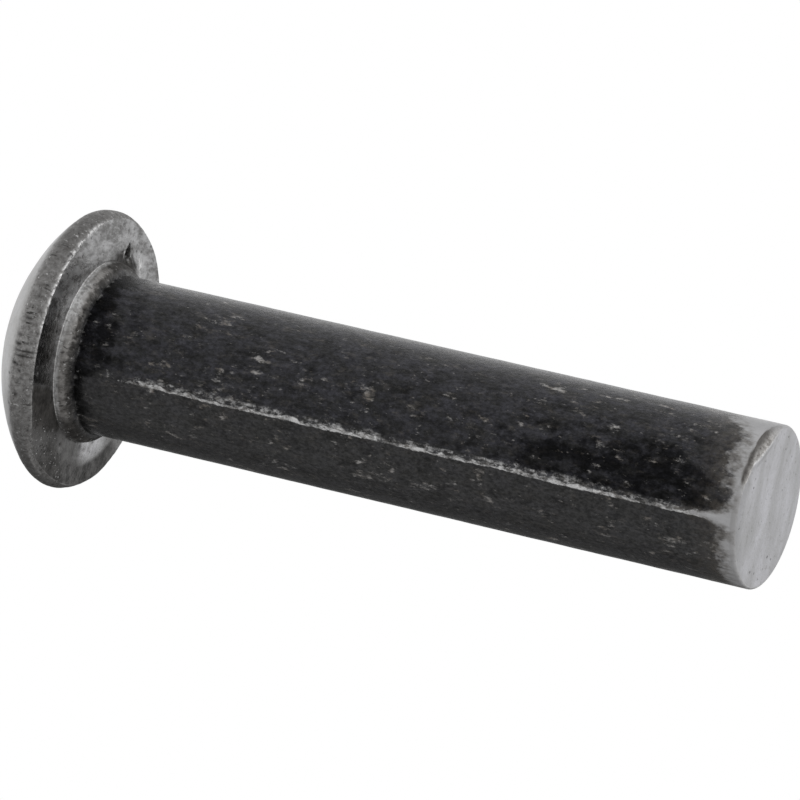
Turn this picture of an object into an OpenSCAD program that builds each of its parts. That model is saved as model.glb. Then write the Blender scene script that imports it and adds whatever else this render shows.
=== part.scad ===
// Solid rivet: a low domed head with a rounded rim, a crowned neck under it and a plain shank.
// It stands on its flat end, with the end face at z = 0 and the head up.
// Lengths are in millimetres, angles in degrees.

/* [Shank] */
// Shank diameter
shank_d = 10; // [8:0.5:12]
// Length from the bearing face to the end
shank_len = 45; // [25:1:70]
// Rounding of the end's edge
end_round = 0.2; // [0.1:0.05:0.8]

/* [Head] */
// Head diameter
head_d = 17.5; // [15:0.25:20]
// Head height above the bearing face
head_h = 5; // [4:0.1:6.5]
// Radius of the rounded rim
rim_round = 1.15; // [1:0.05:1.5]
// Height of the rim's widest line above the bearing face
rim_mid = 0.8; // [0.4:0.05:0.95]

/* [Neck] */
// How far the neck stands out from the shank, under the head
neck_out = 0.7; // [0.5:0.05:1.1]
// Length of the neck below the bearing face
neck_len = 1.05; // [0.7:0.05:1.5]
// Radius of the neck's crowned side
neck_round = 1.15; // [0.95:0.05:2.5]

/* [Die line] */
// Height of the line above the shank
line_h = 0.06; // [0.04:0.01:0.12]
// Radius of the line's crest
line_round = 0.35; // [0.25:0.05:0.5]
// Distance from the end face to the start of the line
line_gap = 1.4; // [1:0.1:4]
// Direction of the line, seen from the axis
line_angle = -105; // [-180:5:180]

/* [End nick] */
// Height of the nick on the shank's wall
nick_h = 0.5; // [0.3:0.05:1]
// Reach of the nick across the end face
nick_in = 0.7; // [0.3:0.05:1]
// Direction of the nick, seen from the axis
nick_angle = -38; // [-180:1:180]

/* [Hidden] */
$fn = 96;

shank_r = shank_d / 2;
head_r = head_d / 2;

// Rim circle, and the dome that is tangent to it and passes through the crown
rim_centre = head_r - rim_round;
rim_z = shank_len + rim_mid;
dome_h = head_h - rim_mid;
dome_r = (rim_centre ^ 2 + dome_h ^ 2 - rim_round ^ 2) / (2 * (dome_h - rim_round));
dome_z = shank_len + head_h - dome_r;
dome_edge = dome_r * rim_centre / (dome_r - rim_round);

// Neck circle through the neck's edge at the bearing face and its foot on the shank
neck_chord = sqrt(neck_out ^ 2 + neck_len ^ 2);
neck_sink = sqrt(neck_round ^ 2 - (neck_chord / 2) ^ 2);
neck_centre = shank_r + neck_out / 2 - neck_sink * neck_len / neck_chord;
neck_z = shank_len - neck_len / 2 + neck_sink * neck_out / neck_chord;

line_centre = shank_r + line_h - line_round;
nick_box = 2 * (nick_h + nick_in);

// Half section of the shank, with the rounded edge of its end
module shank_section() {
    translate([0, end_round])
        square([shank_r, shank_len - end_round]);
    square([shank_r - end_round, end_round]);
    translate([shank_r - end_round, end_round])
        circle(end_round);
}

// Half section of the crowned neck
module neck_section() {
    translate([neck_centre, neck_z])
        circle(neck_round);
}

// Half section of the head, cut flat at the bearing face
module head_section() {
    intersection() {
        translate([0, shank_len])
            square([head_r, head_h]);
        union() {
            translate([rim_centre, rim_z])
                circle(rim_round);
            translate([0, shank_len])
                square([rim_centre, rim_mid]);
            intersection() {
                translate([0, dome_z])
                    circle(dome_r);
                translate([0, rim_z])
                    square([dome_edge, dome_h]);
            }
        }
    }
}

// Fine raised line that the split die leaves along the shank
module die_line() {
    rotate(line_angle)
        translate([line_centre, 0, line_gap])
            cylinder(r = line_round, h = shank_len - line_gap);
}

// Flat nick that cropping leaves on the edge of the end
module nick() {
    rotate(nick_angle)
        translate([shank_r - nick_in, 0, 0])
            rotate([0, atan2(nick_in, nick_h), 0])
                translate([0, -shank_r, -nick_box / 2])
                    cube([nick_box, shank_d, nick_box]);
}

module rivet() {
    color([0.27, 0.27, 0.28])
        difference() {
            union() {
                rotate_extrude()
                    union() {
                        shank_section();
                        neck_section();
                        head_section();
                    }
                die_line();
            }
            nick();
        }
}

rivet();
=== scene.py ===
import math
import random

import bpy
import numpy as np
from mathutils import Matrix, Vector, noise


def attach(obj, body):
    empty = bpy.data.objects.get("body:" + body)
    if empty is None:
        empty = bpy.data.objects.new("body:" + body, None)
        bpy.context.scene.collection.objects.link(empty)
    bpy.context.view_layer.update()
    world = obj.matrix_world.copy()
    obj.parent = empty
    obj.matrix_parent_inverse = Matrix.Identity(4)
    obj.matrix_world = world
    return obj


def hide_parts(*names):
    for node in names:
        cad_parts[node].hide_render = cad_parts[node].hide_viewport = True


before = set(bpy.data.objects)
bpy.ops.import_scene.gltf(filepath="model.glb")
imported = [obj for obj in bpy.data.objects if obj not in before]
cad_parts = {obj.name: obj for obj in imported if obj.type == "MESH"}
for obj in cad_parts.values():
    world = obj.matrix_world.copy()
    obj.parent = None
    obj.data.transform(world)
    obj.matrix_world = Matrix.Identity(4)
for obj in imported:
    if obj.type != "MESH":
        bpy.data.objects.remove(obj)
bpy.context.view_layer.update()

MM = 0.001

# Sizes in millimetres and angles in degrees, as in the part's source
SHANK_R = 5.0
SHANK_LEN = 45.0
END_ROUND = 0.2
HEAD_R = 8.75
HEAD_H = 5.0
RIM_ROUND = 1.15
RIM_MID = 0.8
NECK_OUT = 0.7
NECK_LEN = 1.05
NECK_ROUND = 1.15
LINE_H = 0.06
LINE_ROUND = 0.35
LINE_GAP = 1.4
LINE_ANGLE = -105.0
NICK_H = 0.5
NICK_IN = 0.7
NICK_ANGLE = -38.0

# Derived sizes of the rim, dome and neck
RIM_CENTRE = HEAD_R - RIM_ROUND
RIM_Z = SHANK_LEN + RIM_MID
DOME_H = HEAD_H - RIM_MID
DOME_R = (RIM_CENTRE**2 + DOME_H**2 - RIM_ROUND**2) / (2 * (DOME_H - RIM_ROUND))
DOME_Z = SHANK_LEN + HEAD_H - DOME_R
NECK_R = SHANK_R + NECK_OUT
NECK_CHORD = math.hypot(NECK_OUT, NECK_LEN)
NECK_SINK = math.sqrt(NECK_ROUND**2 - (NECK_CHORD / 2) ** 2)
NECK_CENTRE = SHANK_R + NECK_OUT / 2 - NECK_SINK * NECK_LEN / NECK_CHORD
NECK_Z = SHANK_LEN - NECK_LEN / 2 + NECK_SINK * NECK_OUT / NECK_CHORD
FOOT_Z = SHANK_LEN - NECK_LEN
RIM_LOW = -math.asin(RIM_MID / RIM_ROUND)
RIM_HIGH = math.atan2(RIM_Z - DOME_Z, RIM_CENTRE)
RIM_TOP = RIM_Z + RIM_ROUND * math.sin(RIM_HIGH)
EDGE_R = RIM_CENTRE + RIM_ROUND * math.cos(RIM_LOW)

# Grid of the skin: columns round the axis, steps in degrees, and the gap of a row from a sharp edge
COLUMNS = 300
FINE_STEP = 0.35
CREASE_STEP = 0.55
LEAST_STEP = 0.17
EDGE_GAP = 0.03

# Directions of the marks round the axis in degrees: the camera is at -90, and the picture's top at 0
UPPER_SIDE = 0.0
CAMERA_SIDE = -90.0
NICK_SIDE = -46.0
STAIN_SIDE = -56.0
NECK_HIGHLIGHT_SIDE = -60.0
NECK_PATCH_SIDE = -62.0
NECK_LINE_SIDE = -75.0
RIM_EDGE_SIDE = -95.0
RIM_LIT_SIDE = -98.0
FOLD_SIDE = -100.0
ROLLED_SIDE = -148.0
FAR_SIDE = -168.0
LOW_SHADE_SIDE = -175.0
SCORED_SIDE = 160.0
FAR_EDGE_SIDE = 166.0
LOW_NECK_SIDE = 172.0
TOP_NECK_SIDE = 2.0

# Where the bearing face starts to roll into the rim, and the end face and the wall start to fold
ROLL_R = 6.2
FOLD_R = 4.1
FOLD_Z = 1.3

# Middle of the crease on the bearing face, and of the bright patch past it, painted as a highlight on rubbed
# steel
CREASE_R = 6.38
CREASE_ANGLE = 10.5
CREASE_PATCH_R = 6.7
CREASE_PATCH_ANGLE = 30.0

# Cuts of the end nick: angle, reach across the face, height on the wall and start above the face
NICK_CUTS = [(NICK_ANGLE, NICK_IN, NICK_H, 0.0), (-56.0, 0.25, 0.48, 0.04), (-69.0, 0.2, 0.34, 0.17)]

# Height on the shank that the nick stays under
NICK_TOP = 2.0

# Pits of each zone: number, range of radius and depth
PITS = [
    ("rim", 70, (0.08, 0.15), 0.05),
    ("dome", 14, (0.08, 0.14), 0.03),
    ("under", 44, (0.07, 0.14), 0.04),
    ("neck", 18, (0.07, 0.13), 0.04),
]

# Start of the random draws that place the pits
PIT_SEED = 11

# Scratches on the rim: angle, middle height, half width in degrees and half length
SCRATCHES = [
    (-96.3, 45.65, 0.4, 0.65), (-98.3, 45.7, 0.4, 0.6), (-101.6, 46.25, 0.8, 0.14), (-90.3, 46.25, 0.6, 0.2),
    (-114.4, 46.0, 0.9, 0.16), (-93.6, 46.2, 0.5, 0.25), (-107.5, 45.0, 0.7, 0.2), (-83.0, 45.9, 0.6, 0.3),
]

# Sector round the two long scratches in degrees, and the depth of every scratch
LONG_SCRATCHES = (-99.8, -94.6)
SCRATCH_DEPTH = 0.05

# Rubbed patches on the shank: angle, middle height, half width in degrees and half length
SCUFFS = [
    (-58, 40.3, 2.0, 0.4), (-64, 39.0, 2.0, 0.4), (-75, 41.5, 2.5, 0.5), (-89, 38.4, 3.0, 0.7),
    (-72, 36.4, 3.0, 0.4), (-38, 34.6, 3.0, 0.8), (-50, 31.0, 2.0, 0.3), (-84, 34.5, 2.0, 0.6),
    (-127, 35.7, 3.0, 1.0), (-114, 36.3, 2.0, 0.3), (-127, 32.7, 3.5, 0.8), (-128, 29.6, 2.5, 0.8),
    (-77, 29.0, 4.0, 0.9), (-74, 24.5, 3.5, 0.7), (-136, 24.3, 4.0, 1.3), (-131, 20.0, 4.0, 0.7),
    (-140, 39.4, 1.5, 0.8), (-74, 17.0, 2.5, 0.6), (-84, 11.4, 3.0, 1.1), (-78, 8.1, 4.0, 0.6),
    (-73, 5.9, 4.5, 0.4), (-59, 8.9, 3.0, 0.8), (-113, 16.6, 2.5, 0.3), (-124, 18.0, 2.0, 0.5),
    (-132, 16.0, 4.0, 0.7), (-126, 8.0, 2.5, 0.5), (-145, 5.5, 2.0, 0.4), (-129, 4.3, 2.0, 0.7),
    (-31, 10.5, 2.5, 1.6), (-27, 6.6, 3.0, 1.4), (-36, 14.0, 2.0, 1.2), (-10, 29.0, 3.0, 1.2),
    (40, 12.0, 5.0, 2.0), (110, 27.0, 4.0, 2.5), (160, 8.0, 5.0, 1.5), (75, 36.0, 4.0, 1.8),
    (20, 21.0, 3.0, 0.8), (135, 15.0, 3.0, 1.0), (175, 33.0, 4.0, 1.0),
]

# Values of two attributes away from the scale and away from the die line
BARE = -3.0
OFF_LINE = 5.0

# Camera of the photograph in the part's frame
CAMERA_AT = Vector((1.297, -375.83, -129.618)) * MM
CAMERA_RIGHT = Vector((0.22469, 0.36988, -0.9015))
CAMERA_UP = Vector((0.97443, -0.08529, 0.20787))
CAMERA_BACK = Vector((0.0, -0.92516, -0.37958))
CAMERA_LENS = 301.94
CAMERA_SENSOR = 36.0

# Direction of the small light panel that the edges painted as highlights catch
PANEL_WAY = Vector((0.45, -0.2, -0.83)).normalized()

# Floor in metres: half its side, its depth under the part, and where it starts to fade and is gone
FLOOR_HALF = 1.5
FLOOR_DROP = 0.05 * MM
FLOOR_FADE = (0.12, 0.75)


def arc_rows(zone, centre, radius, start, end, steps):
    """Rows (zone, radius, z, normal r, normal z) along an arc of the half section."""
    rows = []
    for angle in np.linspace(start, end, steps + 1):
        c, s = math.cos(angle), math.sin(angle)
        rows.append((zone, centre[0] + radius * c, centre[1] + radius * s, c, s))
    return rows


def profile_rows():
    """Half section of the rivet from the middle of the end face round to the crown."""
    face_r = SHANK_R - END_ROUND
    face = [*np.linspace(0.3, 3.9, 13), *np.linspace(4.0, face_r, 10)]
    rows = [("end", r, 0.0, 0.0, -1.0) for r in face]
    rows += arc_rows("end_edge", (face_r, END_ROUND), END_ROUND, -math.pi / 2, 0.0, 6)[1:]
    band_top = 2.6
    collar = FOOT_Z - 0.8
    heights = [*np.linspace(END_ROUND, band_top, 25)[1:], *np.linspace(band_top, collar, 84)[1:]]
    heights += [*np.linspace(collar, FOOT_Z - EDGE_GAP, 7)[1:]]
    rows += [("shank", SHANK_R, z, 1.0, 0.0) for z in heights]
    foot = math.atan2(FOOT_Z - NECK_Z, SHANK_R - NECK_CENTRE)
    top = math.atan2(SHANK_LEN - NECK_Z, NECK_R - NECK_CENTRE)
    rows += arc_rows("neck", (NECK_CENTRE, NECK_Z), NECK_ROUND, foot, top, 16)
    under = [NECK_R + EDGE_GAP, *np.linspace(NECK_R + 0.1, CREASE_R + 0.7, 18)]
    under += [*np.linspace(CREASE_R + 0.8, EDGE_R - 0.12, 9), EDGE_R - EDGE_GAP]
    rows += [("under", r, SHANK_LEN, 0.0, -1.0) for r in under]
    rows += arc_rows("rim", (RIM_CENTRE, RIM_Z), RIM_ROUND, RIM_LOW, RIM_HIGH, 26)
    rows += arc_rows("dome", (0.0, DOME_Z), DOME_R, RIM_HIGH, math.pi / 2, 34)[1:-1]
    return rows


def column_angles():
    """Angles round the axis in degrees, closer together at the die line, the crease and the scratches."""
    angles = [*np.linspace(-180.0, 180.0, COLUMNS, endpoint=False)]
    angles += [*np.arange(LINE_ANGLE - 4.0, LINE_ANGLE + 4.01, FINE_STEP)]
    angles += [*np.arange(CREASE_ANGLE - 10.0, CREASE_ANGLE + 16.0, CREASE_STEP)]
    angles += [*np.arange(*LONG_SCRATCHES, FINE_STEP)]
    kept = []
    for angle in sorted(angles):
        if not kept or angle - kept[-1] > LEAST_STEP:
            kept.append(angle)
    return np.array(kept)


def fractal(points, scale, octaves):
    """Signed fractal noise at each point, with points in millimetres."""
    return np.array([noise.fractal(Vector(p) * scale, 0.9, 2.0, octaves) for p in points.tolist()])


def smooth_step(low, high, value):
    """Smooth rise from zero at low to one at high, which may be the smaller of the two."""
    t = np.clip((value - low) / (high - low), 0.0, 1.0)
    return t * t * (3 - 2 * t)


def bell(value, width):
    """Smooth peak of one at zero."""
    return np.exp(-((value / width) ** 2))


def turn_gap(angle, centre):
    """Signed difference of two angles in degrees, within half a turn."""
    return (angle - centre + 180.0) % 360.0 - 180.0


class Surface:
    """Grid of points on the rivet's skin: zone, radius, height, angle, normal and place of each."""

    def __init__(self):
        rows = profile_rows()
        angles = column_angles()
        self.shape = (len(rows), len(angles))
        grid = np.array([row[1:] for row in rows])
        self.zone = np.repeat([row[0] for row in rows], len(angles))
        self.r = np.repeat(grid[:, 0], len(angles))
        self.z = np.repeat(grid[:, 1], len(angles))
        self.angle = np.tile(angles, len(rows))
        turn = np.radians(self.angle)
        across = np.repeat(grid[:, 2], len(angles))
        along = np.repeat(grid[:, 3], len(angles))
        self.normal = np.column_stack([across * np.cos(turn), across * np.sin(turn), along])
        self.place = np.column_stack([self.r * np.cos(turn), self.r * np.sin(turn), self.z])
        self.base = self.place.copy()

    def is_in(self, *zones):
        return np.isin(self.zone, zones)

    def only(self, value, *zones):
        """Value in some zones, and zero elsewhere."""
        return np.where(self.is_in(*zones), value, 0.0)

    def sector(self, centre, full, none):
        """One within full degrees of a direction, falling to zero at none degrees from it."""
        return smooth_step(none, full, np.abs(turn_gap(self.angle, centre)))

    def towards(self, centre, width):
        """Smooth peak at a direction, with its width in degrees."""
        return bell(turn_gap(self.angle, centre), width)

    def beside(self, centre):
        """Signed distance in millimetres round the axis from a direction."""
        return np.radians(turn_gap(self.angle, centre)) * self.r

    def patches(self, table, power):
        """Soft patches of a table: angle, middle height, half width in degrees and half length."""
        total = np.zeros(len(self.z))
        for angle, z, half_width, half_length in table:
            around = turn_gap(self.angle, angle) / half_width
            along = (self.z - z) / half_length
            total = np.maximum(total, np.exp(-(around**2 + along**power)))
        return total

    def push(self, height):
        self.place += self.normal * height[:, None]

    def lift(self, height):
        self.place[:, 2] += height


def line_offset(skin):
    """Distance round the shank from the die line in millimetres, with the line's slight wander."""
    wander = np.array([0.09 * noise.noise(Vector((0.0, 3.0, z * 0.16))) for z in skin.z.tolist()])
    return np.radians(turn_gap(skin.angle, LINE_ANGLE)) * SHANK_R - wander


def add_die_line(skin, offset):
    """Fine raised line along the shank, rubbed uneven."""
    wear = np.array([noise.noise(Vector((7.0, 0.0, z * 0.9))) for z in skin.z.tolist()])
    crest = np.maximum(0.0, LINE_H - offset**2 / (2 * LINE_ROUND)) * (0.8 + 0.6 * wear)
    start = smooth_step(LINE_GAP - 0.4, LINE_GAP + 0.4, skin.z)
    skin.push(skin.only(crest * start, "shank"))


def add_relief(skin):
    """Shallow unevenness of a forged piece, strongest on the rim."""
    slow = fractal(skin.base, 0.45, 2)
    quick = fractal(skin.base, 2.6, 3)
    skin.push(skin.only(0.02 * slow, "dome"))
    skin.push(skin.only(0.028 * slow + 0.014 * quick, "rim"))
    skin.push(skin.only(0.012 * slow + 0.004 * quick, "shank"))
    skin.push(skin.only(0.02 * quick, "neck"))
    fade = smooth_step(0.0, 0.4, np.minimum(skin.r - NECK_R, EDGE_R - skin.r))
    skin.push(skin.only((0.012 * slow + 0.006 * quick) * fade, "under"))


def round_rim_edge(skin):
    """The bearing face rolls softly into the rim on one side of the head; gives where it does."""
    start = ROLL_R + 2.2 * (turn_gap(skin.angle, ROLLED_SIDE) / 28.0) ** 2
    side = skin.sector(ROLLED_SIDE, 26.0, 42.0)
    steep = 0.07 * side
    roll = steep * np.maximum(0.0, skin.r - start) ** 2
    edge_roll = steep * np.maximum(0.0, EDGE_R - start) ** 2 * smooth_step(RIM_Z - 0.1, SHANK_LEN, skin.z)
    skin.lift(skin.only(roll, "under"))
    skin.lift(skin.only(edge_roll, "rim"))
    return skin.only(smooth_step(-0.1, 0.4, skin.r - start) * side, "under")


def roll_end_edge(skin):
    """The sheared edge of the end folds over on one side; gives where it does."""
    side = skin.towards(FOLD_SIDE, 45.0)
    fold = 0.28 * side
    face = fold * np.clip((skin.r - FOLD_R) / (SHANK_R - FOLD_R), 0.0, 1.0) ** 2
    wall = fold * smooth_step(FOLD_Z, END_ROUND, skin.z)
    skin.lift(skin.only(face, "end", "end_edge"))
    skin.lift(skin.only(wall, "shank"))
    return skin.only(side, "end_edge")


def add_pits(skin, rng, zone, count, size, depth):
    """Small round-bottomed pits scattered over a zone; gives how deep they are, up to one."""
    inside = np.flatnonzero(skin.is_in(zone))
    sink = np.zeros(len(skin.z))
    for _ in range(count):
        centre = skin.base[rng.choice(inside.tolist())]
        radius = rng.uniform(*size)
        gap = np.linalg.norm(skin.base[inside] - centre, axis=1) / radius
        sink[inside] -= depth * rng.uniform(0.5, 1.0) * np.exp(-(gap**2))
    skin.push(np.maximum(sink, -2 * depth))
    return np.clip(-sink / depth, 0.0, 1.0)


def add_scratches(skin):
    """Short scratches along the axis on the rim; gives where they are."""
    scratch = skin.only(skin.patches(SCRATCHES, 4), "rim")
    skin.push(-SCRATCH_DEPTH * scratch)
    return scratch


def add_crease(skin):
    """Cold-lap crease on the bearing face: an open split with two fine cracks; gives its dark places."""
    out = skin.r - CREASE_R

    def crack(lean, width, start, end):
        """Dark line whose angle changes by lean degrees for each millimetre of radius."""
        line = bell(skin.beside(CREASE_ANGLE + lean * (out - 0.35)), width)
        return line * smooth_step(start - 0.12, start, out) * smooth_step(end + 0.15, end, out)

    split = crack(-3.0, 0.07 + 0.34 * bell(out + 0.08, 0.24), -0.45, 0.6)
    cracks = np.maximum(crack(-32.0, 0.3, -0.1, 0.3), crack(18.0, 0.2, -0.05, 0.3))
    lip = bell(np.abs(skin.beside(CREASE_ANGLE)) - 0.45, 0.16) * bell(out, 0.3)
    skin.push(skin.only(0.05 * lip - 0.36 * split - 0.06 * cracks, "under"))
    pocket = skin.towards(CREASE_ANGLE + 6.5, 6.0) * smooth_step(6.1, 5.8, skin.r)
    dark = np.maximum.reduce([smooth_step(0.12, 0.45, split), 0.8 * cracks, 0.75 * pocket])
    return skin.only(dark, "under")


def cut_nick(skin):
    """Nick on the end's edge: points beyond the planes of its cuts drop onto them.

    Gives where it is, its bright edge on the face, painted as a highlight, and the dull groove beside that
    edge, painted dark as its shade.
    """
    near_end = skin.z < NICK_TOP
    rough = 0.012 * fractal(skin.base, 3.0, 2)
    nick = np.zeros(len(skin.z))
    chord = np.zeros(len(skin.z))
    groove = np.zeros(len(skin.z))
    for angle, reach, height, lift in NICK_CUTS:
        turn = math.radians(angle)
        slope = math.hypot(height, reach)
        out = np.array([math.cos(turn), math.sin(turn), 0.0])
        normal = out * height / slope + np.array([0.0, 0.0, -reach / slope])
        start = out * (SHANK_R - reach) + np.array([0.0, 0.0, lift])
        beyond = (skin.place - start) @ normal
        cut = near_end & (beyond > 0.0)
        skin.place -= np.where(cut, beyond - rough, 0.0)[:, None] * normal
        nick = np.maximum(nick, np.where(near_end, smooth_step(-0.03, 0.04, beyond), 0.0))
        chord = np.maximum(chord, skin.only(bell(beyond - 0.01, 0.035), "end"))
        groove = np.maximum(groove, skin.only(bell(beyond + 0.13, 0.06), "end"))
    middle = skin.sector(NICK_SIDE, 12.0, 24.0)
    return nick, chord * np.maximum(0.25, middle), groove * middle


def upper_side(skin):
    """Side of the shank where the bare band by the end is wider and duller."""
    return skin.sector(UPPER_SIDE, 18.0, 40.0)


def scale_depth(skin, offset):
    """Distance in millimetres into the black scale from its borders; negative on bare steel."""
    side = turn_gap(skin.angle, CAMERA_SIDE)
    border = 1.0 + 0.5 * smooth_step(0.0, 55.0, side) - 0.25 * bell(side + 3.0, 9.0)
    border += 1.35 * upper_side(skin)
    border += 2.0 * bell(offset - 0.05, 0.3)
    from_end = skin.z - border
    from_neck = 2.2 * (FOOT_Z + 0.12 - skin.z)
    return np.where(skin.is_in("shank", "end_edge", "neck"), np.minimum(from_end, from_neck), BARE)


def soot_and_shade(skin, offset):
    """Near-black places: beside the neck, and painted shade above the die line towards the end."""
    reach = 0.7 + 1.5 * smooth_step(-0.6, 1.4, offset)
    by_neck = 0.9 * smooth_step(1.9 * reach, 0.1 * reach, FOOT_Z - skin.z)
    # Painted shade: the dark band above the die line
    above_line = smooth_step(0.1, 0.6, offset) * smooth_step(5.0, 1.6, offset)
    above_line *= smooth_step(0.8, 2.5, skin.z) * smooth_step(19.0, 11.0, skin.z)
    return skin.only(np.maximum(by_neck, 0.8 * above_line), "shank", "neck")


def scored_patch(skin):
    """Part of the bearing face beside the neck that is scored bright."""
    return skin.only(skin.sector(SCORED_SIDE, 8.0, 25.0) * smooth_step(7.6, 6.3, skin.r), "under")


def low_face_shade_mask(skin):
    """Painted shade, even and dull, on the low side of the bearing face, round the scored patch."""
    return skin.only(skin.sector(LOW_SHADE_SIDE, 52.0, 80.0) * (1.0 - scored_patch(skin)), "under")


def grime_and_shade(skin):
    """Oxide and painted shade on the bearing face and neck: painted shade at the far edge and on the low side
    of face and neck; oxide as a stain, at the top of the neck, and dirty patches round the crease.
    """
    x, y = skin.base[:, 0], skin.base[:, 1]
    on_face = smooth_step(NECK_R, NECK_R + 0.1, skin.r)
    on_neck = smooth_step(NECK_R + 0.1, NECK_R, skin.r)
    # Painted shade: far, far_neck, far_edge, low_side and low_neck darken the low side of the face and neck,
    # where shadow falls
    far = skin.sector(FAR_SIDE, 16.0, 34.0) * smooth_step(6.0, 7.1, skin.r)
    far_neck = skin.sector(FAR_SIDE, 17.0, 28.0) * smooth_step(7.6, 6.6, skin.r)
    far_edge = skin.sector(FAR_EDGE_SIDE, 24.0, 44.0) * smooth_step(6.8, 7.4, skin.r)
    stain = skin.sector(STAIN_SIDE, 12.0, 34.0) * smooth_step(6.1, 6.7, skin.r)
    by_crease = skin.towards(CREASE_ANGLE + 2.0, 17.0) * smooth_step(6.8, 5.95, skin.r)
    low_side = smooth_step(-6.3, -4.6, x) * smooth_step(-2.3, -3.3, x) * smooth_step(-2.2, -3.2, y) * on_face
    low_neck = skin.sector(LOW_NECK_SIDE, 36.0, 54.0) * on_neck
    top_neck = skin.sector(TOP_NECK_SIDE, 16.0, 38.0) * on_neck
    rim_side = np.maximum.reduce([0.55 * far, 0.6 * far_edge, 0.3 * stain])
    neck_side = np.maximum.reduce([0.45 * far_neck, low_side, 0.8 * top_neck, 0.8 * low_neck])
    worst = np.maximum.reduce([rim_side, neck_side, np.minimum(1.0, 1.3 * by_crease)])
    return skin.only(worst, "under", "neck")


def edge_wear_and_highlights(skin, chord):
    """Painted highlights on edges, partly steel rubbed bright by handling: under the rim, by the crease, at
    the neck, along the nick.
    """
    upper = 0.85 * skin.sector(STAIN_SIDE, 24.0, 46.0)
    lower = 0.25 * skin.towards(RIM_EDGE_SIDE, 30.0)
    rim_edge = bell(skin.r - EDGE_R, 0.13) * bell(skin.z - SHANK_LEN, 0.14) * np.maximum(upper, lower)
    below = SHANK_LEN - skin.z
    neck_line = smooth_step(0.36, 0.18, below) * (0.1 + 0.6 * skin.sector(NECK_LINE_SIDE, 54.0, 70.0))
    neck_line += 0.5 * smooth_step(0.4, 0.2, below) * skin.towards(NECK_HIGHLIGHT_SIDE, 17.0)
    neck_patch = 0.85 * smooth_step(0.75, 0.4, below) * skin.towards(NECK_PATCH_SIDE, 17.0)
    past = turn_gap(skin.angle, CREASE_PATCH_ANGLE)
    patch = 0.8 * bell(past, 5.5) * bell(skin.r - CREASE_PATCH_R + 0.04 * past, 0.26)
    lip = 0.7 * bell(np.abs(skin.beside(CREASE_ANGLE)) - 0.46, 0.12) * bell(skin.r - CREASE_R, 0.3)
    head = skin.only(np.maximum.reduce([rim_edge, patch, lip]), "under", "rim")
    neck = skin.only(np.maximum(neck_line, neck_patch), "neck")
    return np.maximum.reduce([head, neck, chord])


def shape_skin(skin, offset):
    """Give the skin its forms one after another; gives the marks that they leave."""
    rng = random.Random(PIT_SEED)
    add_relief(skin)
    add_die_line(skin, offset)
    marks = {"rolled": round_rim_edge(skin), "fold": roll_end_edge(skin)}
    sunk = [add_pits(skin, rng, *pits) for pits in PITS]
    sunk.append(add_scratches(skin))
    marks["crease"] = add_crease(skin)
    marks["nick"], marks["chord"], groove = cut_nick(skin)
    # The groove's painted shade joins the pits
    marks["pit"] = np.maximum.reduce(sunk + [0.3 * groove])
    return marks


def skin_values(skin, offset, marks):
    """Attributes of the skin, which tell the shader what lies where."""
    rim = skin.only(smooth_step(RIM_TOP + 0.4, RIM_TOP - 0.5, skin.z), "rim", "dome")
    nick = marks["nick"]
    return {
        "scale_depth": scale_depth(skin, offset),
        "line_offset": offset,
        "line_brightness": skin.only(0.45 + 0.55 * smooth_step(44.0, 32.0, skin.z), "shank"),
        # Below the die line the scale is painted lighter and even, a painted reflection
        "below_line_light": skin.only(smooth_step(0.6, -0.3, offset), "shank"),
        "scuff": skin.only(skin.patches(SCUFFS, 2), "shank"),
        "soot_and_shade": soot_and_shade(skin, offset),
        "grime_and_shade": grime_and_shade(skin),
        "rubbed": 0.55 * scored_patch(skin),
        "low_face_shade": low_face_shade_mask(skin),
        "wear_and_highlight": edge_wear_and_highlights(skin, marks["chord"]),
        "pit": marks["pit"],
        "crease": marks["crease"],
        "nick": nick * (0.3 + 0.7 * smooth_step(-14.0, -32.0, skin.angle)),
        "nick_dark": nick * smooth_step(0.1, 0.38, skin.place[:, 2]),
        "rim": np.maximum(rim, marks["rolled"]),
        # Painted shade on the rim, strongest away from the camera's side
        "rim_painted_shade": 1.0 - skin.towards(RIM_LIT_SIDE, 46.0),
        "under": skin.only(1.0 - marks["rolled"], "under"),
        "neck": skin.only(1.0, "neck"),
        "neck_foot_dirt_and_shade": skin.only(smooth_step(SHANK_LEN - 0.25, FOOT_Z + 0.2, skin.z), "neck"),
        "end": skin.only(1.0, "end"),
        "end_roll": skin.only(smooth_step(4.0, 4.7, skin.r), "end"),
        "fold": marks["fold"],
        "band": skin.only(smooth_step(6.0, 5.0, skin.z), "shank", "end_edge"),
        "band_top_dark": upper_side(skin),
    }


def skin_mesh(skin):
    """Mesh of the skin, closed at the middle of the end face and at the crown."""
    rows, columns = skin.shape
    middle = len(skin.place)
    crown = middle + 1
    closing = np.array([[0.0, 0.0, 0.0], [0.0, 0.0, SHANK_LEN + HEAD_H]])
    points = np.vstack([skin.place, closing]) * MM
    faces = []
    for row in range(rows - 1):
        low, high = row * columns, (row + 1) * columns
        for column in range(columns):
            beside = (column + 1) % columns
            faces.append((low + column, low + beside, high + beside, high + column))
    last = (rows - 1) * columns
    for column in range(columns):
        beside = (column + 1) % columns
        faces.append((middle, beside, column))
        faces.append((crown, last + column, last + beside))
    mesh = bpy.data.meshes.new("rivet_skin")
    mesh.from_pydata(points.tolist(), [], faces)
    mesh.polygons.foreach_set("use_smooth", [True] * len(mesh.polygons))
    return mesh


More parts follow.
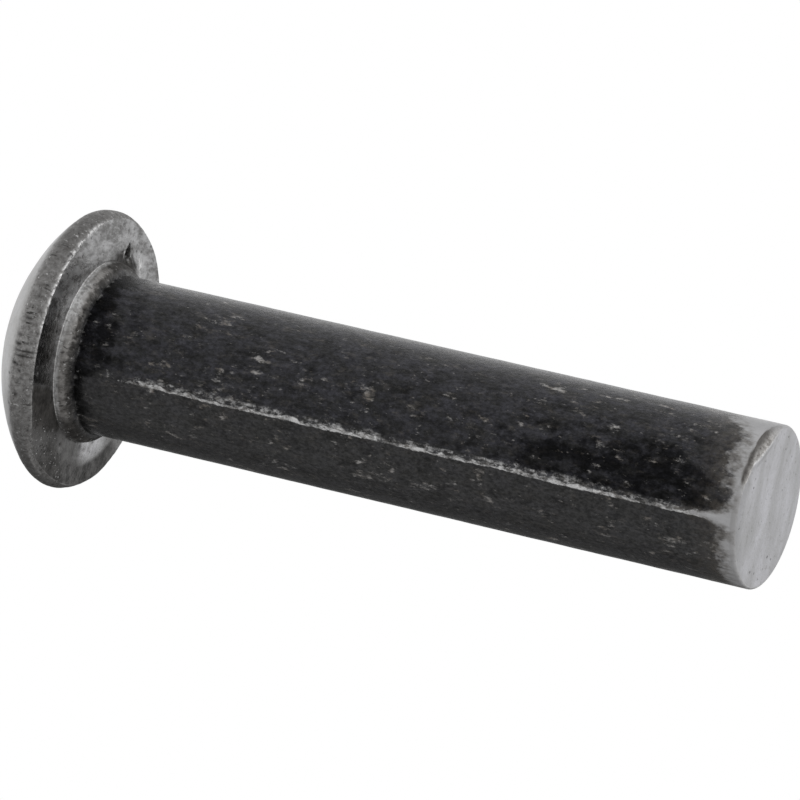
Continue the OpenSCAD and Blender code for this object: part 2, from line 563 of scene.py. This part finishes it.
def build_rivet():
    """Detailed skin of the rivet, with its attributes."""
    skin = Surface()
    offset = line_offset(skin)
    marks = shape_skin(skin, offset)
    mesh = skin_mesh(skin)
    closing = {"scale_depth": [BARE, BARE], "line_offset": [OFF_LINE, OFF_LINE], "end": [1.0, 0.0]}
    for name, value in skin_values(skin, offset, marks).items():
        attribute = mesh.attributes.new(name, "FLOAT", "POINT")
        attribute.data.foreach_set("value", np.append(value, closing.get(name, [0.0, 0.0])))
    mesh.update()
    rivet = bpy.data.objects.new("rivet_skin", mesh)
    bpy.context.scene.collection.objects.link(rivet)
    return rivet


class Nodes:
    """Short ways to add and join the nodes of one shader tree."""

    def __init__(self, tree):
        self.tree = tree
        self.attributes = {}
        tree.nodes.clear()

    def add(self, kind, **settings):
        node = self.tree.nodes.new(kind)
        for name, value in settings.items():
            setattr(node, name, value)
        return node

    def join(self, value, socket):
        """Link a socket to another, or set it where the value is a constant."""
        if isinstance(value, bpy.types.NodeSocket):
            self.tree.links.new(value, socket)
        else:
            socket.default_value = value

    def join_all(self, values, sockets):
        for value, socket in zip(values, sockets):
            self.join(value, socket)

    def math(self, operation, a, b=0.0):
        node = self.add("ShaderNodeMath", operation=operation)
        self.join_all((a, b), node.inputs[:2])
        return node.outputs[0]

    def plus(self, a, b):
        return self.math("ADD", a, b)

    def minus(self, a, b):
        return self.math("SUBTRACT", a, b)

    def rest(self, value):
        """What is left of one."""
        return self.minus(1.0, value)

    def times(self, *values):
        product = values[0]
        for value in values[1:]:
            product = self.math("MULTIPLY", product, value)
        return product

    def most(self, *values):
        top = values[0]
        for value in values[1:]:
            top = self.math("MAXIMUM", top, value)
        return top

    def step(self, value, low, high, start=0.0, end=1.0):
        """Smooth change from start at low to end at high."""
        node = self.add("ShaderNodeMapRange", interpolation_type="SMOOTHSTEP")
        names = ("Value", "From Min", "From Max", "To Min", "To Max")
        self.join_all((value, low, high, start, end), [node.inputs[name] for name in names])
        return node.outputs["Result"]

    def blend(self, factor, a, b):
        """Mix of two numbers."""
        node = self.add("ShaderNodeMix", data_type="FLOAT")
        self.join_all((factor, a, b), node.inputs[:1] + node.inputs[2:4])
        return node.outputs[0]

    def tint(self, factor, a, b):
        """Mix of two colours."""
        node = self.add("ShaderNodeMix", data_type="RGBA")
        self.join_all((factor, a, b), node.inputs[:1] + node.inputs[6:8])
        return node.outputs[2]

    def noise(self, vector, scale, detail=3.0, roughness=0.5):
        node = self.add("ShaderNodeTexNoise")
        names = ("Vector", "Scale", "Detail", "Roughness")
        self.join_all((vector, scale, detail, roughness), [node.inputs[name] for name in names])
        return node.outputs["Fac"]

    def stretch(self, vector, factors):
        node = self.add("ShaderNodeVectorMath", operation="MULTIPLY")
        self.join_all((vector, factors), node.inputs[:2])
        return node.outputs[0]

    def shade(self, colour, factor):
        """Colour made darker or lighter by a factor."""
        node = self.add("ShaderNodeVectorMath", operation="SCALE")
        self.join(colour, node.inputs[0])
        self.join(factor, node.inputs["Scale"])
        return node.outputs[0]

    def attribute(self, name):
        if name not in self.attributes:
            self.attributes[name] = self.add("ShaderNodeAttribute", attribute_name=name).outputs["Fac"]
        return self.attributes[name]


class RivetNodes(Nodes):
    """Shader tree of the rivet, with the patterns that its parts share; places are in millimetres."""

    def __init__(self, tree):
        super().__init__(tree)
        metres = self.add("ShaderNodeTexCoord").outputs["Object"]
        self.place = self.stretch(metres, (1 / MM, 1 / MM, 1 / MM))
        self.drawn = self.along(0.45)
        self.thread = self.along(0.16)
        self.cloud = self.step(self.noise(self.place, 0.8, 4.0, 0.6), 0.3, 0.7)
        self.grain = self.step(self.noise(self.place, 7.0, 3.0, 0.6), 0.3, 0.7)
        self.blotch = self.step(self.noise(self.place, 1.7, 6.0, 0.74), 0.34, 0.66)
        self.speckle = self.step(self.noise(self.place, 3.9, 5.0, 0.76), 0.34, 0.66)
        on_face = self.stretch(self.place, (1.0, 0.45, 1.0))
        self.face_blotch = self.step(self.noise(on_face, 1.7, 6.0, 0.7), 0.34, 0.66)
        self.chipped = self.minus(self.noise(self.along(0.5), 3.6, 3.0, 0.6), 0.5)
        self.fine = self.noise(self.along(0.6), 5.5, 3.0, 0.7)

    def along(self, factor):
        """Places drawn out along the axis."""
        return self.stretch(self.place, (1.0, 1.0, factor))


def grey(value, warm=0.0):
    """Linear grey with a slight warm or, where negative, blue cast."""
    return (value * (1 + max(0.0, warm)), value, value * (1 - warm), 1.0)


def scale_edge(n):
    """Distance into the black scale, with ragged borders of eaten patches and chips."""
    eaten = n.minus(n.noise(n.along(0.7), 1.3, 5.0, 0.6), 0.5)
    ragged = n.plus(n.times(eaten, 2.6), n.times(n.chipped, 1.5))
    ragged = n.times(ragged, n.blend(n.attribute("neck"), 1.0, 0.3))
    return n.plus(n.attribute("scale_depth"), ragged)


def line_cover(n):
    """Die line painted bright, partly a worn raised line and partly a painted reflection: a broken bright
    core, sharp below, with a second strand and specks above it.
    """
    offset = n.attribute("line_offset")
    run = n.stretch(n.place, (0.3, 0.3, 1.0))
    slow = n.times(n.minus(n.noise(run, 1.3, 3.0), 0.5), 0.2)
    quick = n.times(n.minus(n.noise(run, 6.0, 2.0), 0.5), 0.14)
    across = n.plus(offset, n.plus(slow, quick))
    lower = n.step(across, -0.18, -0.11)
    wide = n.step(n.noise(run, 0.75, 3.0, 0.6), 0.35, 0.65, -0.05, 0.17)
    core = n.times(lower, n.step(n.minus(across, wide), 0.05, -0.05))
    core = n.times(core, n.step(n.noise(run, 0.9, 5.0, 0.75), 0.34, 0.5, 0.3, 1.0))
    core = n.times(core, n.step(n.noise(n.drawn, 3.2, 4.0, 0.7), 0.34, 0.5, 0.15, 1.0))
    above = n.math("ABSOLUTE", n.minus(n.plus(offset, n.times(slow, -0.8)), 0.26))
    strand = n.times(n.step(above, 0.13, 0.03), n.step(n.noise(run, 1.15, 5.0, 0.75), 0.46, 0.6))
    strand = n.times(strand, n.step(n.noise(n.drawn, 4.0, 3.0, 0.7), 0.4, 0.58))
    reach = n.step(n.noise(run, 0.45, 3.0, 0.6), 0.35, 0.65, 0.12, 0.55)
    halo = n.times(lower, n.step(n.minus(across, reach), 0.1, -0.25))
    halo = n.times(halo, n.step(n.noise(n.along(0.6), 4.2, 4.0, 0.7), 0.47, 0.6))
    line = n.most(core, n.times(strand, 0.7), n.times(halo, 0.6))
    wear = n.attribute("line_brightness")
    broken = n.plus(wear, n.noise(n.along(0.7), 3.4, 4.0, 0.7))
    return n.times(line, n.step(wear, 0.4, 0.8, 0.6, 1.0), n.step(broken, 1.03, 1.17))


def fleck_cover(n):
    """Flecks, specks and scuffs where the scale is rubbed through."""
    patchy = n.minus(n.noise(n.place, 0.45, 2.0), 0.5)
    level = n.minus(0.59, n.times(patchy, 0.4))
    level = n.minus(level, n.times(n.attribute("scuff"), 0.13))
    fleck = n.step(n.minus(n.noise(n.drawn, 2.6, 5.0, 0.7), level), 0.0, 0.17)
    fleck = n.times(fleck, n.step(n.noise(n.drawn, 5.5, 3.0, 0.6), 0.36, 0.56, 0.15, 1.0))
    speck = n.times(n.step(n.noise(n.drawn, 6.5, 2.0, 0.5), 0.69, 0.78), 0.5)
    return n.most(fleck, speck)


def soot_and_shade_cover(n):
    """Sooting and painted shade on the black scale, thicker in clumps."""
    clump = n.step(n.noise(n.along(0.7), 1.2, 5.0, 0.62), 0.32, 0.68)
    sooty_shade = n.minus(n.attribute("soot_and_shade"), n.times(n.minus(clump, 0.4), 0.9))
    return n.times(n.step(sooty_shade, -0.05, 0.95), 0.76)


def dark_cover(n):
    """Pits, the crease, pocks, dints and fine ticks, all near black."""
    rim = n.attribute("rim")
    pock = n.step(n.noise(n.place, 3.8, 3.0, 0.7), 0.62, 0.69)
    pock = n.times(pock, n.plus(n.most(n.times(rim, 0.6), n.times(n.attribute("under"), 0.4)), 0.12))
    dint = n.times(n.attribute("end"), n.step(n.noise(n.place, 2.9, 0.0), 0.79, 0.82, 0.0, 0.7))
    hair = n.noise(n.thread, 4.6, 2.0, 0.6)
    rim_tick = n.times(n.step(hair, 0.58, 0.68, 0.0, 0.85), rim, n.step(n.cloud, 0.45, 0.75))
    neck_tick = n.times(n.step(hair, 0.55, 0.68, 0.0, 0.75), n.attribute("neck"))
    return n.most(n.times(n.attribute("pit"), 0.9), n.attribute("crease"), pock, dint, rim_tick, neck_tick)


def rim_tone(n):
    """Mottled rim, paler on the camera's side because painted shade darkens it elsewhere."""
    axial = n.blend(0.55, n.step(n.noise(n.drawn, 4.2, 5.0, 0.72), 0.32, 0.68), n.speckle)
    tone = n.tint(n.blend(n.blotch, n.times(axial, 0.8), axial), grey(0.16, 0.04), grey(0.52, 0.01))
    return n.tint(n.times(n.attribute("rim_painted_shade"), 0.6), tone, grey(0.11, 0.03))


def face_tone(n):
    """Blotched bearing face with fine scratches and a scored patch."""
    scratch = n.step(n.noise(n.stretch(n.place, (0.12, 1.0, 1.0)), 2.2, 4.0, 0.6), 0.36, 0.62)
    tone = n.tint(n.face_blotch, grey(0.11, 0.03), grey(0.46, -0.01))
    tone = n.tint(n.times(scratch, 0.12), tone, grey(0.45, -0.01))
    score = n.times(n.attribute("rubbed"), n.blend(scratch, 0.2, 1.0))
    return n.tint(score, tone, grey(0.6, -0.04))


def neck_tone(n):
    """Neck brushed along the axis, dark at its foot from dirt and painted shade of its curve into the shank.
    """
    brushed = n.step(n.noise(n.thread, 2.6, 5.0, 0.7), 0.34, 0.66)
    tone = n.tint(n.blend(0.7, n.speckle, brushed), grey(0.14, 0.06), grey(0.46, 0.03))
    # Dirt and painted shade darken the neck towards its foot
    foot = n.step(n.plus(n.attribute("neck_foot_dirt_and_shade"), n.times(n.chipped, 0.8)), 0.58, 1.14)
    return n.tint(foot, tone, n.tint(n.blotch, grey(0.02, 0.08), grey(0.07, 0.06)))


def end_tone(n):
    """Sheared end face with soft streaks and spots."""
    streak = n.step(n.noise(n.stretch(n.place, (0.3, 1.0, 1.0)), 0.55, 3.0, 0.5), 0.3, 0.7)
    tone = n.tint(streak, grey(0.43, -0.02), grey(0.64, -0.06))
    tone = n.tint(n.times(n.blotch, 0.4), tone, grey(0.44))
    spot = n.step(n.noise(n.place, 2.4, 3.0, 0.6), 0.56, 0.7, 0.0, 0.5)
    return n.tint(spot, tone, grey(0.3, 0.02))


def band_tone(n, edge):
    """Bare band beside the end, worn darker towards the scale, darker on its upper side, and painted darker
    at the fold as shade.
    """
    tone = n.tint(n.noise(n.drawn, 1.5, 4.0, 0.6), grey(0.52), grey(0.74, -0.03))
    worn = n.times(n.step(edge, -1.3, -0.1), n.step(n.noise(n.drawn, 1.9, 5.0, 0.7), 0.4, 0.6, 0.2, 0.9))
    tone = n.tint(worn, tone, grey(0.23, 0.06))
    tone = n.tint(n.times(n.attribute("band_top_dark"), 0.6), tone, grey(0.3, -0.02))
    # Painted shade along the fold of the end's edge
    return n.tint(n.times(n.attribute("fold"), 0.3), tone, grey(0.28, 0.05))


def nick_tone(n):
    """Torn steel of the nick, dark on its outer side."""
    tone = n.tint(n.speckle, grey(0.22, 0.06), grey(0.6, 0.03))
    return n.tint(n.times(n.attribute("nick_dark"), 0.85), tone, grey(0.06, 0.1))


def steel_tone(n, edge, dirt_and_shade, dark):
    """Bare steel, whose colour changes with the zone, under dirty patches with painted shade, dark marks and
    small glints.
    """
    rim = n.attribute("rim")
    neck = n.attribute("neck")
    tone = n.tint(n.cloud, grey(0.38, 0.01), grey(0.45, -0.01))
    tone = n.tint(rim, tone, rim_tone(n))
    tone = n.tint(n.attribute("under"), tone, face_tone(n))
    # Painted shade darkens the low side of the bearing face
    low_face_shade = n.tint(n.cloud, grey(0.09, 0.03), grey(0.17, 0.01))
    tone = n.tint(n.times(n.attribute("low_face_shade"), 0.75), tone, low_face_shade)
    tone = n.tint(neck, tone, neck_tone(n))
    tone = n.tint(n.attribute("end"), tone, end_tone(n))
    tone = n.tint(n.attribute("band"), tone, band_tone(n, edge))
    tone = n.tint(n.attribute("nick"), tone, nick_tone(n))
    tone = n.tint(dirt_and_shade, tone, n.tint(n.blotch, grey(0.02, 0.08), grey(0.075, 0.06)))
    tone = n.tint(dark, tone, grey(0.02, 0.1))
    glint = n.times(n.most(rim, neck), n.step(n.noise(n.place, 4.9, 2.0, 0.6), 0.64, 0.73), 0.7)
    return n.tint(glint, tone, grey(0.85))


def scale_tone(n, edge, sooty_shade, fleck, line):
    """Black scale: cool black with clouds, browner where it is thin, near-black where sooting and painted
    shade are thick.
    """
    below_line_light = n.attribute("below_line_light")
    lump = n.step(n.noise(n.drawn, 1.6, 6.0, 0.74), 0.36, 0.64)
    tone = n.tint(lump, grey(0.003, -0.05), grey(0.034, -0.3))
    # Painted reflection: the scale below the die line is painted a lighter, even grey
    tone = n.tint(n.times(below_line_light, 0.65), tone, grey(0.046, 0.02))
    smudge = n.times(n.step(n.noise(n.drawn, 2.2, 5.0, 0.7), 0.52, 0.68), n.blend(below_line_light, 0.6, 0.4))
    tone = n.tint(smudge, tone, grey(0.068, 0.12))
    tone = n.shade(tone, n.step(n.fine, 0.3, 0.7, 0.5, 1.45))
    tone = n.tint(sooty_shade, tone, grey(0.003))
    thin = n.times(n.step(edge, 2.6, 0.35), n.attribute("band"))
    tone = n.tint(n.times(thin, n.blend(n.blotch, 0.1, 0.9)), tone, grey(0.085, 0.12))
    brown = n.step(n.noise(n.place, 1.3, 2.0), 0.35, 0.65)
    fleck_tone = n.tint(brown, grey(0.26, 0.13), grey(0.64, 0.03))
    tone = n.tint(n.times(fleck, n.blend(sooty_shade, 0.85, 0.75)), tone, fleck_tone)
    # The die line is painted near-white: worn steel on the raised line, and a painted reflection along it
    line_glare = n.step(n.noise(n.drawn, 3.8, 5.0, 0.75), 0.36, 0.6)
    return n.tint(line, tone, n.tint(line_glare, grey(0.2, 0.06), grey(1.0)))


def fine_relief(n, worn, dark):
    """Fine relief, roughest on the rim, with worn places and dark marks a little sunk."""
    rim = n.attribute("rim")
    mottle = n.step(n.noise(n.place, 2.6, 5.0, 0.65), 0.3, 0.7)
    height = n.times(mottle, n.blend(rim, 0.25, 0.9))
    height = n.plus(height, n.times(n.grain, n.blend(rim, 0.15, 0.35)))
    height = n.minus(height, n.times(worn, 0.3))
    height = n.minus(height, dark)
    bump = n.add("ShaderNodeBump")
    bump.inputs["Strength"].default_value = 0.6
    bump.inputs["Distance"].default_value = 0.05 * MM
    n.join(height, bump.inputs["Height"])
    return bump.outputs["Normal"]


def rivet_material():
    """Bare forged steel with black scale on the shank, told apart by the skin's attributes."""
    material = bpy.data.materials.new("forged_steel")
    material.use_nodes = True
    n = RivetNodes(material.node_tree)
    neck = n.attribute("neck")
    edge = scale_edge(n)
    scale = n.step(edge, -0.45, 0.45)
    line = line_cover(n)
    fleck = fleck_cover(n)
    # Worn places: flecks, and the die line with its painted reflection
    worn = n.most(fleck, line)
    sooty_shade = soot_and_shade_cover(n)
    black = n.times(scale, sooty_shade, n.rest(worn), 0.8)
    dark = dark_cover(n)
    # Oxide, dirty patches and painted shade, all darkening the steel
    dirt_and_shade = n.step(n.times(n.attribute("grime_and_shade"), n.blend(n.blotch, 1.0, 0.75)), 0.05, 0.7, 0.0, 0.95)
    # Painted highlights: the bright edges, partly rubbed bare, are painted near-white and broken into beads
    beads = n.step(n.noise(n.place, 4.2, 3.0, 0.6), 0.42, 0.58, n.blend(neck, 0.1, 0.5), 1.0)
    wear_and_highlight = n.times(n.attribute("wear_and_highlight"), beads)
    shader = n.add("ShaderNodeBsdfPrincipled")

    # Colour
    tone = n.tint(scale, steel_tone(n, edge, dirt_and_shade, dark), scale_tone(n, edge, sooty_shade, fleck, line))
    # The painted highlights go over the tone in near-white
    n.join(n.tint(wear_and_highlight, tone, grey(0.92)), shader.inputs["Base Color"])

    # Bare steel is a metal where it isn't dull, and so is the near-black sooting with painted shade, which
    # takes its sheen away
    dull_end = n.times(n.most(n.attribute("band"), n.attribute("end_roll")), 0.7)
    # The painted highlight on the neck is dull white, not metal
    dull = n.most(dark, dirt_and_shade, dull_end, n.times(wear_and_highlight, neck))
    n.join(n.most(n.times(n.rest(scale), n.rest(dull)), black), shader.inputs["Metallic"])

    # Roughness
    head_rough = n.blend(n.grain, 0.3, 0.42)
    steel_rough = n.blend(n.attribute("under"), head_rough, n.blend(n.face_blotch, 0.16, 0.26))
    coarse = n.most(n.attribute("rim"), n.attribute("nick"), dirt_and_shade, neck)
    steel_rough = n.blend(coarse, steel_rough, 0.5)
    rough = n.blend(scale, steel_rough, n.blend(n.grain, 0.21, 0.33))
    n.join(n.blend(wear_and_highlight, rough, 0.24), shader.inputs["Roughness"])

    # Dark marks, dirty patches, sooting and the painted shade among them lose their gloss
    matt = n.most(n.times(n.most(dark, dirt_and_shade), n.rest(scale)), black)
    gloss = n.blend(scale, 0.5, n.step(n.fine, 0.3, 0.7, 0.36, 0.62))
    n.join(n.blend(matt, gloss, 0.05), shader.inputs["Specular IOR Level"])

    n.join(fine_relief(n, worn, dark), shader.inputs["Normal"])
    output = n.add("ShaderNodeOutputMaterial")
    n.join(shader.outputs["BSDF"], output.inputs["Surface"])
    return material


def floor_material():
    """Pale floor that fades out with distance and can't be seen from under it."""
    material = bpy.data.materials.new("pale_floor")
    material.use_nodes = True
    n = Nodes(material.node_tree)
    surface = n.add("ShaderNodeBsdfDiffuse")
    surface.inputs["Color"].default_value = grey(0.86)
    distance = n.add("ShaderNodeVectorMath", operation="LENGTH")
    n.join(n.add("ShaderNodeTexCoord").outputs["Object"], distance.inputs[0])
    far = n.step(distance.outputs["Value"], *FLOOR_FADE)
    mix = n.add("ShaderNodeMixShader")
    n.join(n.most(n.add("ShaderNodeNewGeometry").outputs["Backfacing"], far), mix.inputs[0])
    n.join(surface.outputs[0], mix.inputs[1])
    n.join(n.add("ShaderNodeBsdfTransparent").outputs[0], mix.inputs[2])
    output = n.add("ShaderNodeOutputMaterial")
    n.join(mix.outputs[0], output.inputs["Surface"])
    return material


def build_floor():
    """Floor for the views from above; the photograph's view is from under it and shows the end face."""
    half, z = FLOOR_HALF, -FLOOR_DROP
    corners = [(-half, -half, z), (half, -half, z), (half, half, z), (-half, half, z)]
    mesh = bpy.data.meshes.new("floor")
    mesh.from_pydata(corners, [], [(0, 1, 2, 3)])
    mesh.materials.append(floor_material())
    floor = bpy.data.objects.new("floor", mesh)
    bpy.context.scene.collection.objects.link(floor)
    floor.visible_diffuse = False
    floor.visible_glossy = False
    floor.visible_transmission = False
    floor.visible_shadow = False


def build_world():
    """White studio: bright behind and above the rivet as the photograph sees it, dim on the camera's side."""
    world = bpy.data.worlds.new("studio")
    bpy.context.scene.world = world
    world.use_nodes = True
    n = Nodes(world.node_tree)
    direction = n.add("ShaderNodeTexCoord").outputs["Generated"]

    def facing(axis):
        """Cosine of the angle between the direction of light and an axis."""
        node = n.add("ShaderNodeVectorMath", operation="DOT_PRODUCT")
        n.join(direction, node.inputs[0])
        n.join(tuple(axis), node.inputs[1])
        return node.outputs["Value"]

    up = facing(CAMERA_UP)
    away = facing(-CAMERA_BACK)
    behind = n.step(away, -0.75, 0.45, 0.0, 0.5)
    below = n.step(up, -0.3, 0.05, 0.13, 1.0)
    below = n.most(below, n.step(facing(CAMERA_RIGHT), 0.3, 0.6, 0.0, 0.82))
    above = n.step(up, 0.4, 0.88, 1.0, 0.35)
    fill = n.times(n.step(up, -0.8, 0.1, 0.34, 0.45), n.blend(n.step(away, 0.0, 0.6), 1.0, below))
    panel = n.step(facing(PANEL_WAY), 0.955, 0.985, 0.0, 2.6)
    light = n.plus(n.plus(fill, n.times(behind, below, above)), panel)
    seen = n.add("ShaderNodeLightPath").outputs["Is Camera Ray"]
    background = n.add("ShaderNodeBackground")
    background.inputs["Color"].default_value = grey(1.0)
    n.join(n.blend(seen, light, 1.0), background.inputs["Strength"])
    output = n.add("ShaderNodeOutputWorld")
    n.join(background.outputs[0], output.inputs["Surface"])


def build_camera():
    """Camera at the photograph's place, with its lens."""
    data = bpy.data.cameras.new("camera")
    data.lens = CAMERA_LENS
    data.sensor_width = CAMERA_SENSOR
    data.clip_start = 0.01
    camera = bpy.data.objects.new("camera", data)
    turn = Matrix((CAMERA_RIGHT, CAMERA_UP, CAMERA_BACK)).transposed().to_4x4()
    camera.matrix_world = Matrix.Translation(CAMERA_AT) @ turn
    bpy.context.scene.collection.objects.link(camera)
    bpy.context.scene.camera = camera


rivet = build_rivet()
rivet.data.materials.append(rivet_material())
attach(rivet, "root")
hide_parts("rivet")
build_floor()
build_world()
build_camera()
bpy.context.scene.view_settings.view_transform = "Standard"
